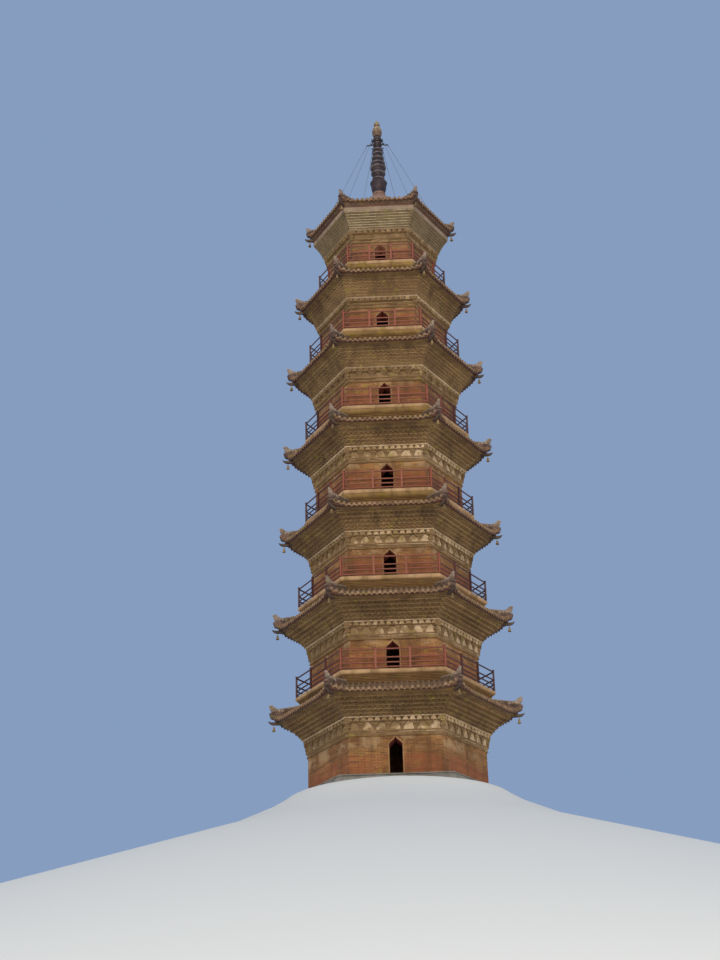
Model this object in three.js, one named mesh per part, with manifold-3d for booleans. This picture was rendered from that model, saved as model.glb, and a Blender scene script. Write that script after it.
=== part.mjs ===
// Hexagonal seven-storey brick pagoda at full size: millimetres, +Z up.
// The origin is the centre of the plinth's underside. Flat faces look to -Y (front) and +Y (back).
// An apothem is the distance from the tower's axis to the middle of a flat face.

import * as THREE from 'three';
import { mergeVertices } from 'three/addons/utils/BufferGeometryUtils.js';
import Module from 'manifold-3d';

const wasm = await Module();
wasm.setup();

const SIDES = 6;
const SECTOR = (2 * Math.PI) / SIDES;
const CORNER = 1 / Math.cos(SECTOR / 2); // corner radius over apothem

// Plinth: a low step under the ground storey
const PLINTH_HEIGHT = 350;
const PLINTH_APOTHEM = 4550;
const PLINTH_LEDGE = 120;

// Storeys from the ground up: floor-to-floor height, then apothems of wall, deck and eave edge,
// then levels above the floor of the doorway's crown, the wall's top and the string course's top
const STOREYS = [
  { height: 4950, wall: 3700, deck: 4550, eave: 5150, door: 1850, wallTop: 1890, string: 2790 },
  { height: 4660, wall: 3560, deck: 4220, eave: 5000, door: 1550, wallTop: 1600, string: 2500 },
  { height: 4660, wall: 3420, deck: 4100, eave: 4720, door: 1550, wallTop: 1600, string: 2500 },
  { height: 4670, wall: 3270, deck: 3760, eave: 4540, door: 1550, wallTop: 1620, string: 2490 },
  { height: 4640, wall: 3190, deck: 3730, eave: 4370, door: 1500, wallTop: 1550, string: 2350 },
  { height: 4400, wall: 2940, deck: 3510, eave: 3970, door: 1280, wallTop: 1440, string: 2040 },
  { height: 4680, wall: 2540, deck: 3030, eave: 3460, door: 1280, wallTop: 1370, string: 2150 },
];
const topStorey = STOREYS.at(-1);
const WALL_THICKNESS = 800;
const DOOR_WIDTH = 620;
const DOOR_ARCH_RISE = 330;
const ARCH_BENDS = [[0.8, 0.33], [0.3, 0.55]]; // control points: shares of half width and rise

// Levels below the next floor at which the cornice and the eave end
const CORNICE_TOP_DROP = 1400;
const EAVE_TOP_DROP = 560;

// Cornice: architrave, bracket band and string course, then the corbelled flare under the eave
const ARCHITRAVE_REACH = 70;
const ARCHITRAVE_HEIGHT = 210;
const BAND_REACH = 40;
const CAP_REACH = 190;
const CAP_DROP = 130;  // below the string course's top
const BAND_DROP = 210;
const STRING_REACH = 240;
const FLARE_BULGE = 0.1; // how far the flare's middle falls short of a straight line
const FLARE_PAIR = 155;  // height of a recessed dogtooth course with the plain course over it
const TOOTH_FACE = 0.68; // how far out the dogtooth course's mean face lies between its neighbours
const TOP_COURSES = 7;   // plain courses in the top storey's flare

// Shape of the eaves: overhang from the top of the flare out to the tile edge, height of an
// upright fascia over the flare, lift of the edge above the flare, and its further rise at the
// corners. The top storey's eave differs.
const EAVE = { overhang: 450, fascia: 0, lift: 70, rise: 330 };
const TOP_EAVE = { overhang: 210, fascia: 260, lift: 200, rise: 200 };

// Eave: a tiled ring whose edge sweeps up at the six corners
const EAVE_COLUMNS = [0, 0.6, 0.82, 1]; // shares of the half side at which its form bends
const EDGE_DEPTH = 180; // from the underside of the edge to the crests of the tile rows
const TILE_DROP = 60;   // from the crests of the tile rows down to their mean level
const EDGE_TUCK = 50;
const CORNER_RISE_START = 0.6; // share of the half side that stays level
const DECK_CORBEL = 390;       // from the deck's edge in to the foot of its corbel

// Hip ridge, corner ornament, corner beam and bell, one set at each corner of an eave
const RIDGE_WIDTH = 190;
const RIDGE_HEIGHT = 260;      // at the ornament
const RIDGE_FOOT_HEIGHT = 160; // at the upper end
const RIDGE_ROOT = 120;
const RIDGE_GAP = 5;
const ORNAMENT_REACH = 150;
const ORNAMENT_HEIGHT = 430;
const ORNAMENT_DEPTH = 270;
const BEAM_DROP = 390; // from the tiles' corner down to the beam's outer end
const BEAM_WIDTH = 130;
const BEAM_DEPTH = 130;
const BEAM_REACH = 260;
const BEAM_ROOT = 950;
const BELL_INSET = 300;
const BELL_RADIUS = 85;
const BELL_HEIGHT = 230;
const BELL_DROP = 110;
const BELL_ROD = 24;

// Decks: balcony and floor in one slab, with a corbel under its edge
const DECK_EDGE = 230;
const DECK_CHAMFER = 60;

// Railings: four rails and four posts to a side, flush, standing at the deck's edge
const RAILING_INSET = 20;
const RAILING_THICKNESS = 70;
const POST_WIDTH = 90;
const BAYS = 3;
const RAIL_HEIGHT = 70;
const RAIL_TOPS = [110, 330, 570, 980];

// Top roof: a hollow shell rising to the foot of the spire
const ROOF_APEX = 34200;
const ROOF_APEX_APOTHEM = 420;
const ROOF_SAG = 0.2;
const ROOF_THICKNESS = 380;
const ROOF_RIM = 70; // depth of its inner rim, on the wall
const ROOF_STEPS = [0, 0.35, 0.7, 1];

// Spire: levels above the plinth's underside, and radii
const SPIRE_SEGMENTS = 12;
const BASE_TOP = 34700;
const BOWL_TOP = 35600;
const RING_LEVELS = [35720, 36110, 36500, 36810, 37155, 37510, 37790];
const RING_RADII = [360, 415, 460, 410, 360, 310, 295];
const RING_GROOVE = 0.8; // radius between the rings over the ring's own
const RINGS_TOP = 37950;
const CROWN_TOP = 38650;
const FINIAL_TIP = 39870;

// Hooks on the crown, and the six taut stays from them down to the hip ridges of the top roof
const HOOK_LEVEL = 38110;
const HOOK_REACH = 600;
const HOOK_SIZE = 50;
const STAY_FOOT_SHARE = 0.21; // how far up the hip ridge the stays end
const STAY_RADIUS = 12;
const LUG_RADIUS = 26;
const LUG_LENGTH = 160;
const CLEARANCE = 0.3;

function finish(colour, roughness, metalness) {
  return { color: colour, roughness, metalness };
}

const BRICK = finish(0x8a6238, 0.9, 0);
const MOULDED_BRICK = finish(0x7d6444, 0.9, 0);
const PLASTER = finish(0xb9a98c, 0.85, 0);
const TILE = finish(0x6e665c, 0.8, 0);
const RED_WOOD = finish(0x7a3f33, 0.6, 0);
const IRON = finish(0x2b2628, 0.55, 0.7);
const GILT = finish(0xa9835a, 0.4, 0.8);
const STONE = finish(0x8f8a80, 0.9, 0);

// A closed manifold solid from any closed three.js geometry
function toSolid(geometry) {
  const bare = new THREE.BufferGeometry();
  bare.setAttribute('position', geometry.getAttribute('position').clone());
  if (geometry.index) bare.setIndex(geometry.index.clone());
  const merged = mergeVertices(bare, 1e-3);
  const corners = merged.getAttribute('position');
  const triangles = [];
  for (let i = 0; i < merged.index.count; i += 3) {
    const [a, b, c] = [0, 1, 2].map((n) => merged.index.getX(i + n));
    if (a !== b && b !== c && c !== a) triangles.push(a, b, c);
  }
  if (signedVolume(corners, triangles) < 0) {
    for (let i = 0; i < triangles.length; i += 3) {
      [triangles[i], triangles[i + 1]] = [triangles[i + 1], triangles[i]];
    }
  }
  return new wasm.Manifold(new wasm.Mesh({
    numProp: 3,
    vertProperties: Float32Array.from(corners.array),
    triVerts: Uint32Array.from(triangles),
  }));
}

function signedVolume(corners, triangles) {
  const [a, b, c] = [new THREE.Vector3(), new THREE.Vector3(), new THREE.Vector3()];
  let sum = 0;
  for (let i = 0; i < triangles.length; i += 3) {
    a.fromBufferAttribute(corners, triangles[i]);
    b.fromBufferAttribute(corners, triangles[i + 1]);
    c.fromBufferAttribute(corners, triangles[i + 2]);
    sum += a.dot(b.cross(c));
  }
  return sum / 6;
}

function join(solids) {
  return solids.reduce((whole, solid) => whole.add(solid));
}

const pagoda = new THREE.Group();

function addNode(name, solid, look) {
  const found = solid.getMesh();
  const geometry = new THREE.BufferGeometry();
  geometry.setAttribute('position', new THREE.BufferAttribute(Float32Array.from(found.vertProperties), 3));
  geometry.setIndex(new THREE.BufferAttribute(Uint32Array.from(found.triVerts), 1));
  geometry.computeVertexNormals();
  const mesh = new THREE.Mesh(geometry, new THREE.MeshStandardMaterial(look));
  mesh.name = name;
  pagoda.add(mesh);
}

// A closed profile of [distance, level] pairs turned about the tower's axis
function turned(profile, segments) {
  const points = [...profile, profile[0]].map(([radius, level]) => new THREE.Vector2(radius, level));
  const geometry = new THREE.LatheGeometry(points, segments, SECTOR / 2);
  return geometry.rotateX(Math.PI / 2);
}

// The same on a hexagon: distances are apothems, and each half side has points at the given
// columns, shares of the way from its middle (0) to a corner (1), where lift(distance, share)
// raises them
function hexagonal(profile, columns = [1], lift = () => 0) {
  const steps = Math.max(1, 2 * (columns.length - 1));
  const geometry = turned(profile, SIDES * steps);
  const position = geometry.getAttribute('position');
  for (let i = 0; i < position.count; i += 1) {
    const x = position.getX(i);
    const y = position.getY(i);
    const distance = Math.hypot(x, y);
    const angle = Math.atan2(y, x);
    const sector = Math.floor(angle / SECTOR + 1e-6) * SECTOR + SECTOR / 2;
    const offset = angle - sector;
    const share = columns[Math.round((2 * Math.abs(offset) / SECTOR) * (columns.length - 1))];
    const along = Math.sign(offset) * share * distance * Math.tan(SECTOR / 2);
    position.setXYZ(
      i,
      distance * Math.cos(sector) - along * Math.sin(sector),
      distance * Math.sin(sector) + along * Math.cos(sector),
      position.getZ(i) + lift(distance, share),
    );
  }
  return toSolid(geometry);
}

function box(width, depth, height, x, y, z) {
  return toSolid(new THREE.BoxGeometry(width, depth, height).translate(x, y, z));
}

// A slab of the given width standing in the vertical plane through a corner, from a side outline
function cornerSlab(outline, width, corner) {
  const shape = new THREE.Shape(outline.map(([radius, level]) => new THREE.Vector2(radius, level)));
  const geometry = new THREE.ExtrudeGeometry(shape, { depth: width, bevelEnabled: false });
  geometry.translate(0, 0, -width / 2).rotateX(Math.PI / 2).rotateZ(corner * SECTOR);
  return toSolid(geometry);
}

// A round bar with flat ends from one point to another
function bar(from, to, radius, segments = 6) {
  const along = to.clone().sub(from);
  const geometry = new THREE.CylinderGeometry(radius, radius, along.length(), segments);
  const turn = new THREE.Quaternion().setFromUnitVectors(
    new THREE.Vector3(0, 1, 0),
    along.clone().normalize(),
  );
  geometry.applyQuaternion(turn);
  const middle = from.clone().add(to).multiplyScalar(0.5);
  geometry.translate(middle.x, middle.y, middle.z);
  return toSolid(geometry);
}

// A doorway with a tented, ogee-pointed arch through the front and back walls, standing on the floor
function doorway(floor, height, depth) {
  const half = DOOR_WIDTH / 2;
  const spring = height - DOOR_ARCH_RISE;
  const shape = new THREE.Shape();
  shape.moveTo(-half, -1);
  shape.lineTo(half, -1);
  shape.lineTo(half, spring);
  const [low, high] = ARCH_BENDS.map(([out, up]) => [out * half, spring + up * DOOR_ARCH_RISE]);
  shape.bezierCurveTo(...low, ...high, 0, height);
  shape.bezierCurveTo(-high[0], high[1], -low[0], low[1], -half, spring);
  const geometry = new THREE.ExtrudeGeometry(shape, {
    depth: 2 * depth,
    bevelEnabled: false,
    curveSegments: 4,
  });
  geometry.translate(0, 0, -depth).rotateX(Math.PI / 2).translate(0, 0, floor);
  return toSolid(geometry);
}

function wall(storey, floor) {
  const inner = storey.wall - WALL_THICKNESS;
  const top = floor + storey.wallTop;
  const ring = hexagonal([[inner, floor], [storey.wall, floor], [storey.wall, top], [inner, top]]);
  return ring.subtract(doorway(floor, storey.door, storey.wall + 100));
}

function eaveShape(storey) {
  return storey === topStorey ? TOP_EAVE : EAVE;
}

// The corbelled courses of a flare between two [apothem, level] points: pairs of a dogtooth
// course and a plain one, or plain courses only
function flareCourses([foot, bottom], [tip, top], plain) {
  const count = plain ? TOP_COURSES : Math.round((top - bottom) / FLARE_PAIR);
  const height = (top - bottom) / count;
  const reach = (t) => foot + (tip - foot) * (t - FLARE_BULGE * 4 * t * (1 - t));
  const points = [];
  for (let n = 0; n < count; n += 1) {
    const low = bottom + n * height;
    const [behind, front] = [reach(n / count), reach((n + 1) / count)];
    if (plain) {
      points.push([front, low], [front, low + height]);
    } else {
      const recess = behind + TOOTH_FACE * (front - behind);
      points.push([recess, low], [recess, low + height / 2]);
      points.push([front, low + height / 2], [front, low + height]);
    }
  }
  return points;
}

function cornice(storey, floor) {
  const { overhang, fascia } = eaveShape(storey);
  const inner = storey.wall - WALL_THICKNESS;
  const bottom = floor + storey.wallTop;
  const string = floor + storey.string;
  const top = floor + storey.height - CORNICE_TOP_DROP;
  const [foot, tip] = [storey.wall + STRING_REACH, storey.eave - overhang];
  const flare = flareCourses([foot, string], [tip, top - fascia], fascia > 0);
  if (fascia) flare.push([tip, top]);
  return hexagonal([
    [inner, bottom],
    [storey.wall + ARCHITRAVE_REACH, bottom],
    [storey.wall + ARCHITRAVE_REACH, bottom + ARCHITRAVE_HEIGHT],
    [storey.wall + BAND_REACH, bottom + ARCHITRAVE_HEIGHT],
    [storey.wall + BAND_REACH, string - BAND_DROP],
    [storey.wall + CAP_REACH, string - CAP_DROP],
    [foot, string],
    ...flare,
    [inner, top],
  ]);
}

// Corner rise of an eave: nothing over most of the side, then up to the corner. Only points
// beyond the given apothem are raised.
function cornerRise(rise, from) {
  return (distance, share) => {
    if (distance < from) return 0;
    const t = Math.max(0, (share - CORNER_RISE_START) / (1 - CORNER_RISE_START));
    return rise * t * t;
  };
}

// Corner trim of one eave: ridge with its ornament, beam and bell, at each of the six corners.
// The crest lists [radius, level] along the top of the hip ridge, from its saddle inward and
// ends at its foot.
function cornerTrim(storey, base, crest) {
  const corner = storey.eave * CORNER;
  const { lift, rise } = eaveShape(storey);
  const tileTop = base + lift + EDGE_DEPTH + rise;
  const underside = crest.map(([radius, level]) => [radius, level - RIDGE_HEIGHT - RIDGE_ROOT]);
  const ridge = [
    ...underside.reverse(),
    [corner - 200, tileTop - RIDGE_ROOT],
    [corner + 40, tileTop - ORNAMENT_DEPTH],
    [corner + ORNAMENT_REACH - 20, tileTop - ORNAMENT_DEPTH / 2],
    [corner + ORNAMENT_REACH, tileTop + ORNAMENT_HEIGHT],
    [corner - 60, tileTop + RIDGE_HEIGHT + 60],
    [corner - 350, tileTop + RIDGE_HEIGHT],
    ...crest,
  ];
  const beamTop = tileTop - BEAM_DROP;
  const beam = [
    [corner - BEAM_ROOT, base + 20],
    [corner + BEAM_REACH, beamTop - BEAM_DEPTH],
    [corner + BEAM_REACH, beamTop],
    [corner - BEAM_ROOT, base + 20 + BEAM_DEPTH],
  ];
  const bellRadius = corner + BEAM_REACH - BELL_INSET;
  const hook = beamTop - BEAM_DEPTH / 2;
  const bellTop = beamTop - BEAM_DEPTH - BELL_DROP;
  const solids = [];
  for (let n = 0; n < SIDES; n += 1) {
    solids.push(cornerSlab(ridge, RIDGE_WIDTH, n), cornerSlab(beam, BEAM_WIDTH, n));
    const [x, y] = [Math.cos(n * SECTOR) * bellRadius, Math.sin(n * SECTOR) * bellRadius];
    solids.push(box(BELL_ROD, BELL_ROD, hook - bellTop + 40, x, y, (hook + bellTop - 40) / 2));
    const bell = new THREE.CylinderGeometry(BELL_RADIUS / 2, BELL_RADIUS, BELL_HEIGHT, SIDES);
    solids.push(toSolid(bell.rotateX(Math.PI / 2).translate(x, y, bellTop - BELL_HEIGHT / 2)));
  }
  return solids;
}

function eave(storey, floor, deckAbove) {
  const { overhang, lift, rise } = eaveShape(storey);
  const inner = storey.wall - WALL_THICKNESS;
  const base = floor + storey.height - CORNICE_TOP_DROP;
  const top = floor + storey.height - EAVE_TOP_DROP;
  const foot = deckAbove - DECK_CORBEL;
  const edge = storey.eave - EDGE_TUCK;
  const body = hexagonal([
    [inner, base],
    [storey.eave - overhang, base],
    [edge, base + lift],
    [storey.eave, base + lift + EDGE_DEPTH - TILE_DROP],
    [foot, top],
    [inner, top],
  ], EAVE_COLUMNS, cornerRise(rise, edge - 1));
  const corbelSlope = ((DECK_CORBEL - DECK_CHAMFER) * CORNER) / (EAVE_TOP_DROP - DECK_EDGE);
  const crestFoot = foot * CORNER + RIDGE_GAP;
  const crest = [
    [crestFoot + RIDGE_FOOT_HEIGHT * corbelSlope, top + RIDGE_FOOT_HEIGHT],
    [crestFoot, top],
  ];
  return join([body, ...cornerTrim(storey, base, crest)]);
}

function deck(storey, floor) {
  const foot = storey.deck - DECK_CORBEL;
  return hexagonal([
    [0, floor - EAVE_TOP_DROP],
    [foot, floor - EAVE_TOP_DROP],
    [storey.deck - DECK_CHAMFER, floor - DECK_EDGE],
    [storey.deck, floor - DECK_EDGE + DECK_CHAMFER],
    [storey.deck, floor],
    [0, floor],
  ]);
}

// A ring with mitred corners, opened between its posts and rails
function railing(storey, floor) {
  const outer = storey.deck - RAILING_INSET;
  const inner = outer - RAILING_THICKNESS;
  const top = floor + RAIL_TOPS.at(-1);
  const pitch = (2 * inner * Math.tan(SECTOR / 2)) / BAYS;
  const ring = hexagonal([[inner, floor], [outer, floor], [outer, top], [inner, top]]);
  const openings = [];
  for (let turn = 0; turn < SIDES / 2; turn += 1) {
    for (let bay = 0; bay < BAYS; bay += 1) {
      RAIL_TOPS.forEach((railTop, n) => {
        const low = n === 0 ? -RAIL_HEIGHT : RAIL_TOPS[n - 1];
        const high = railTop - RAIL_HEIGHT;
        const opening = new THREE.BoxGeometry(pitch - POST_WIDTH, 3 * outer, high - low);
        opening.translate((bay - (BAYS - 1) / 2) * pitch, 0, floor + (low + high) / 2);
        openings.push(toSolid(opening.rotateZ(turn * SECTOR)));
      });
    }
  }
  return openings.reduce((left, opening) => left.subtract(opening), ring);
}

// A point of the top roof's slope: apothem and level, from the eave (0) to the apex (1)
const roofBase = STOREYS.reduce((sum, storey) => sum + storey.height, PLINTH_HEIGHT) - CORNICE_TOP_DROP;

function roofSlope(t) {
  const edgeTop = roofBase + TOP_EAVE.lift + EDGE_DEPTH - TILE_DROP;
  return [
    topStorey.eave + (ROOF_APEX_APOTHEM - topStorey.eave) * t,
    edgeTop + (ROOF_APEX - edgeTop) * (t - ROOF_SAG * 4 * t * (1 - t)),
  ];
}

// The crest of its hip ridge, which is higher near the eave, where the hip curls up
function roofCrest(t) {
  const [apothem, level] = roofSlope(t);
  const height = TILE_DROP + RIDGE_HEIGHT + (RIDGE_FOOT_HEIGHT - TILE_DROP - RIDGE_HEIGHT) * t;
  const curl = TOP_EAVE.rise * Math.max(0, 1 - t / ROOF_STEPS[1]);
  return [apothem * CORNER, level + height + curl];
}

// A point on the stay over one corner: a share of the way from its hook (0) to the ridge (1),
// moved along it by some millimetres
function stayPoint(corner, share, shift = 0) {
  const [radius, level] = roofCrest(STAY_FOOT_SHARE);
  const hook = new THREE.Vector3(HOOK_REACH, 0, HOOK_LEVEL);
  const foot = new THREE.Vector3(radius, 0, level);
  const along = foot.clone().sub(hook).normalize();
  const point = hook.lerp(foot, share).addScaledVector(along, shift);
  return point.applyAxisAngle(new THREE.Vector3(0, 0, 1), corner * SECTOR);
}

function stay(corner) {
  const top = stayPoint(corner, 0, LUG_LENGTH + CLEARANCE);
  return bar(top, stayPoint(corner, 1, -LUG_LENGTH - CLEARANCE), STAY_RADIUS);
}

function topRoof() {
  const inner = topStorey.wall - WALL_THICKNESS;
  const edge = topStorey.eave - EDGE_TUCK;
  const underside = [ROOF_STEPS[2], ROOF_STEPS[1]].map((t) => {
    const [apothem, level] = roofSlope(t);
    return [apothem - ROOF_THICKNESS, level - ROOF_THICKNESS];
  });
  const shell = hexagonal([
    [inner, roofBase],
    [topStorey.eave - TOP_EAVE.overhang, roofBase],
    [edge, roofBase + TOP_EAVE.lift],
    ...ROOF_STEPS.map(roofSlope),
    [0, ROOF_APEX],
    [0, ROOF_APEX - 2 * ROOF_THICKNESS],
    ...underside,
    [inner, roofBase + ROOF_RIM],
  ], EAVE_COLUMNS, cornerRise(TOP_EAVE.rise, edge - 1));
  const lugs = [];
  for (let n = 0; n < SIDES; n += 1) {
    lugs.push(bar(stayPoint(n, 1, LUG_LENGTH), stayPoint(n, 1, -LUG_LENGTH), LUG_RADIUS));
  }
  const crest = [0.14, 0.35, 0.7, 0.97].map(roofCrest);
  return join([shell, ...cornerTrim(topStorey, roofBase, crest), ...lugs]);
}

// Spire parts: closed profiles of [radius, level], with their first and last points on the axis
function spireBase() {
  const radius = ROOF_APEX_APOTHEM * 0.95;
  return toSolid(turned([
    [0, ROOF_APEX],
    [radius, ROOF_APEX],
    [radius * 0.8, ROOF_APEX + 120],
    [radius * 0.8, ROOF_APEX + 380],
    [radius * 0.86, BASE_TOP - 60],
    [radius * 0.86, BASE_TOP],
    [0, BASE_TOP],
  ], SPIRE_SEGMENTS));
}

function spireBowl() {
  return toSolid(turned([
    [0, BASE_TOP],
    [335, BASE_TOP],
    [430, BASE_TOP + 390],
    [440, BASE_TOP + 630],
    [490, BASE_TOP + 715],
    [390, BOWL_TOP - 60],
    [320, BOWL_TOP],
    [0, BOWL_TOP],
  ], SPIRE_SEGMENTS));
}

// Seven rings stacked on the mast, which swell and then shrink as they rise. Each has its rim low
// down and tapers upward to the groove under the next one.
function spireRings() {
  const rings = RING_LEVELS.flatMap((level, n) => [
    [RING_RADII[n] * RING_GROOVE, level - 75],
    [RING_RADII[n], level - 40],
    [RING_RADII[n], level + 30],
    [RING_RADII[n] * (1 + RING_GROOVE) / 2, level + 60],
    [RING_RADII[n] * RING_GROOVE, level + 150],
  ]);
  const top = RING_RADII.at(-1) * RING_GROOVE;
  return toSolid(turned([[0, BOWL_TOP], [RING_RADII[0] * RING_GROOVE, BOWL_TOP], ...rings,
    [top, RINGS_TOP], [0, RINGS_TOP]], SPIRE_SEGMENTS));
}

// The crown: a ribbed collar with a hook over each corner of the tower
function spireCrown() {
  const collar = toSolid(turned([
    [0, RINGS_TOP],
    [200, RINGS_TOP],
    [240, RINGS_TOP + 220],
    [200, RINGS_TOP + 320],
    [240, RINGS_TOP + 420],
    [240, CROWN_TOP - 90],
    [150, CROWN_TOP],
    [0, CROWN_TOP],
  ], SPIRE_SEGMENTS));
  const hooks = [];
  for (let n = 0; n < SIDES; n += 1) {
    const arm = [
      [180, HOOK_LEVEL - 40],
      [HOOK_REACH, HOOK_LEVEL - HOOK_SIZE],
      [HOOK_REACH + HOOK_SIZE / 2, HOOK_LEVEL + 2 * HOOK_SIZE],
      [HOOK_REACH - HOOK_SIZE / 2, HOOK_LEVEL + HOOK_SIZE / 2],
      [180, HOOK_LEVEL + 140],
    ];
    hooks.push(cornerSlab(arm, HOOK_SIZE, n));
    hooks.push(bar(stayPoint(n, 0), stayPoint(n, 0, LUG_LENGTH), LUG_RADIUS));
  }
  return join([collar, ...hooks]);
}

// A double gourd with a pointed tip
function finial() {
  return toSolid(turned([
    [0, CROWN_TOP],
    [150, CROWN_TOP],
    [250, CROWN_TOP + 170],
    [285, CROWN_TOP + 380],
    [230, CROWN_TOP + 620],
    [110, CROWN_TOP + 800],
    [180, CROWN_TOP + 940],
    [150, CROWN_TOP + 1080],
    [40, FINIAL_TIP - 70],
    [0, FINIAL_TIP],
  ], SPIRE_SEGMENTS));
}

pagoda.name = 'pagoda';

let floor = PLINTH_HEIGHT;
addNode('plinth', hexagonal([
  [0, 0],
  [PLINTH_APOTHEM, 0],
  [PLINTH_APOTHEM, PLINTH_HEIGHT - PLINTH_LEDGE],
  [PLINTH_APOTHEM - PLINTH_LEDGE, PLINTH_HEIGHT - PLINTH_LEDGE],
  [PLINTH_APOTHEM - PLINTH_LEDGE, PLINTH_HEIGHT],
  [0, PLINTH_HEIGHT],
]), STONE);

STOREYS.forEach((storey, n) => {
  const number = n + 1;
  const above = STOREYS[number];
  if (n > 0) {
    addNode(`deck_${number}`, deck(storey, floor), PLASTER);
    addNode(`railing_${number}`, railing(storey, floor), RED_WOOD);
  }
  addNode(`wall_${number}`, wall(storey, floor), BRICK);
  addNode(`cornice_${number}`, cornice(storey, floor), MOULDED_BRICK);
  if (above) {
    addNode(`eave_${number}`, eave(storey, floor, above.deck), TILE);
  } else {
    addNode('top_roof', topRoof(), TILE);
  }
  floor += storey.height;
});

addNode('spire_base', spireBase(), PLASTER);
addNode('spire_bowl', spireBowl(), IRON);
addNode('spire_rings', spireRings(), IRON);
addNode('spire_crown', spireCrown(), IRON);
addNode('finial', finial(), GILT);
for (let n = 0; n < SIDES; n += 1) {
  addNode(`stay_${n + 1}`, stay(n), IRON);
}

export default pagoda;
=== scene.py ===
import math

import bmesh
import bpy
from mathutils import Matrix, Vector, geometry


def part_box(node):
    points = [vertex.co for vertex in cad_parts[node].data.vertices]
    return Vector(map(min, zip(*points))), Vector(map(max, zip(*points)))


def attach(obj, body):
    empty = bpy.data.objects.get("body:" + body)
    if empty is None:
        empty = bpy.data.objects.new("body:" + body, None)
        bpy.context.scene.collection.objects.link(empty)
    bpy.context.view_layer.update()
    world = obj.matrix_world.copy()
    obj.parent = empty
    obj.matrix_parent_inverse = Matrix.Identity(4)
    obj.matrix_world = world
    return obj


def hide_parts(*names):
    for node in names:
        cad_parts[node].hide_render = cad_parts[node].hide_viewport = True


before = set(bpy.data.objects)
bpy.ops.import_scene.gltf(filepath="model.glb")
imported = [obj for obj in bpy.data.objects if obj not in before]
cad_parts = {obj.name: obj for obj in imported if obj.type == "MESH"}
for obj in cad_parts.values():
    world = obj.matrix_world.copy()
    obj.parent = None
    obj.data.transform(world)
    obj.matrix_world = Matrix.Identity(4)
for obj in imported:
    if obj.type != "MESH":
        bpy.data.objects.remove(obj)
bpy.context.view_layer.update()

# Hexagonal brick pagoda, in metres, +Z up. An apothem is the distance from the axis to the
# middle of a face. One side is drawn looking along +Y: x runs along it and y is minus the
# apothem. One corner is drawn with x pointing out through it. Both are repeated six times.
# A moulding's outline is a list of (out, up) points, which moved() takes to its place.

SIDES = 6
SECTOR = math.tau / SIDES
TAN = math.tan(SECTOR / 2)
CORNER = 1 / math.cos(SECTOR / 2)  # corner radius over apothem
STOREYS = 7
DOOR_SIDES = (0, 3)    # front and back
WORN_FROM = 5          # the storey from which the cornices have lost most of their plaster
FLAT_FROM = 6          # and that from which their brackets stand out less
EDGE_STEPS = 16        # along an eave's curved edge
ROUND_STEPS = 48       # round the spire

# Walls and doorways
WALL_THICKNESS = 0.8
DOOR_WIDTH = 0.62
DOOR_ARCH_RISE = 0.33
DOOR_HEIGHTS = (1.85, 1.55, 1.55, 1.55, 1.50, 1.28, 1.28)
DOOR_FRAME = 0.05
DOOR_LINING = 0.012
FRAME_DEPTH = 0.06     # how far the surround runs into the wall
DADO_TOP = 1.08        # the lower wall, behind the railing, is washed red

# Cornice: levels above the wall's top or below the string course's, and reaches beyond the
# wall's face
STRING_TOPS = (2.79, 2.50, 2.50, 2.49, 2.35, 2.04, 2.15)  # above each floor
ARCHITRAVE_TOP = 0.21
PANEL_END = 0.32       # raised panel at each end of a side
PANEL_MIDDLE = 0.45    # half of the raised panel in the middle
STRING_DEPTH = 0.05
STRING_REACH = 0.24
BRACKET_LEDGE = 0.07
BRACKET_PITCH = 0.62
FLAT_RELIEF = 0.3
CAP_PITCH = 0.31       # caps in a row under the string course
CAP_ROW = 0.17
TOOTH_PITCH = 0.25
FLARE_PAIR = 0.155     # height of a dogtooth course with the plain course over it
LEDGES = 7             # plain courses in the top storey's flare
FLARE_BULGE = 0.10

# Eaves. A pair holds the lower storeys' value and the top storey's
OVERHANG = (0.45, 0.21)
EDGE_LIFT = (0.07, 0.20)
CORNER_RISE = (0.33, 0.20)
ROOF_SAG = (0.03, 0.20)
CORNER_RISE_START = 0.6
EDGE_DEPTH = 0.18
SOFFIT_INSET = 0.13       # from the eave's edge
BED_DEPTH = 0.125         # from the tiles' crests down to their mortar bed
TOP_FASCIA = 0.26
TOP_ROOF_FOOT = 0.42
TOP_RIDGE_FOOT = 0.5
TILE_PITCH = 0.25
TILE_LENGTH = 0.29
TILE_RADIUS = 0.07
RIDGE_HEIGHT = 0.26       # at the eave's corner
RIDGE_FOOT_HEIGHT = 0.15  # at the upper end
RIDGE_START = 0.18        # from the eave's edge
RIDGE_CAP_START = 0.10    # further in than the ridge
RIDGE_CAP_LENGTH = 0.25
RIDGE_CAP_RADIUS = 0.128
FOOT_LIFT = 0.06          # tile crests over the foot of the slope's solid

# Decks and railings
DECK_CORBEL = 0.39
DECK_EDGE = 0.23
DECK_DEPTH = 0.56
CORBEL_COURSE = 0.055
BEVELLED_FROM = 4      # the storey from which a plastered bevel lies under the deck's edge
BEVEL_FOOT = 0.37
RAIL_TOPS = (0.11, 0.33, 0.57, 0.98)
RAIL_HEIGHT = 0.07
RAIL_DEPTH = 0.06
RAIL_CHAMFER = 0.015
RAILING_INSET = 0.055  # from the deck's edge in to the middle of the posts
POST_WIDTH = 0.09

# Spire: each ring's height over the lowest one's foot, and its radius
SPIRE_RINGS = ((0.12, 0.36), (0.51, 0.415), (0.90, 0.46), (1.21, 0.41), (1.555, 0.36),
               (1.91, 0.31), (2.19, 0.295))
GOURD_DARK_TOP = 0.39     # up the gourd

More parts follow.
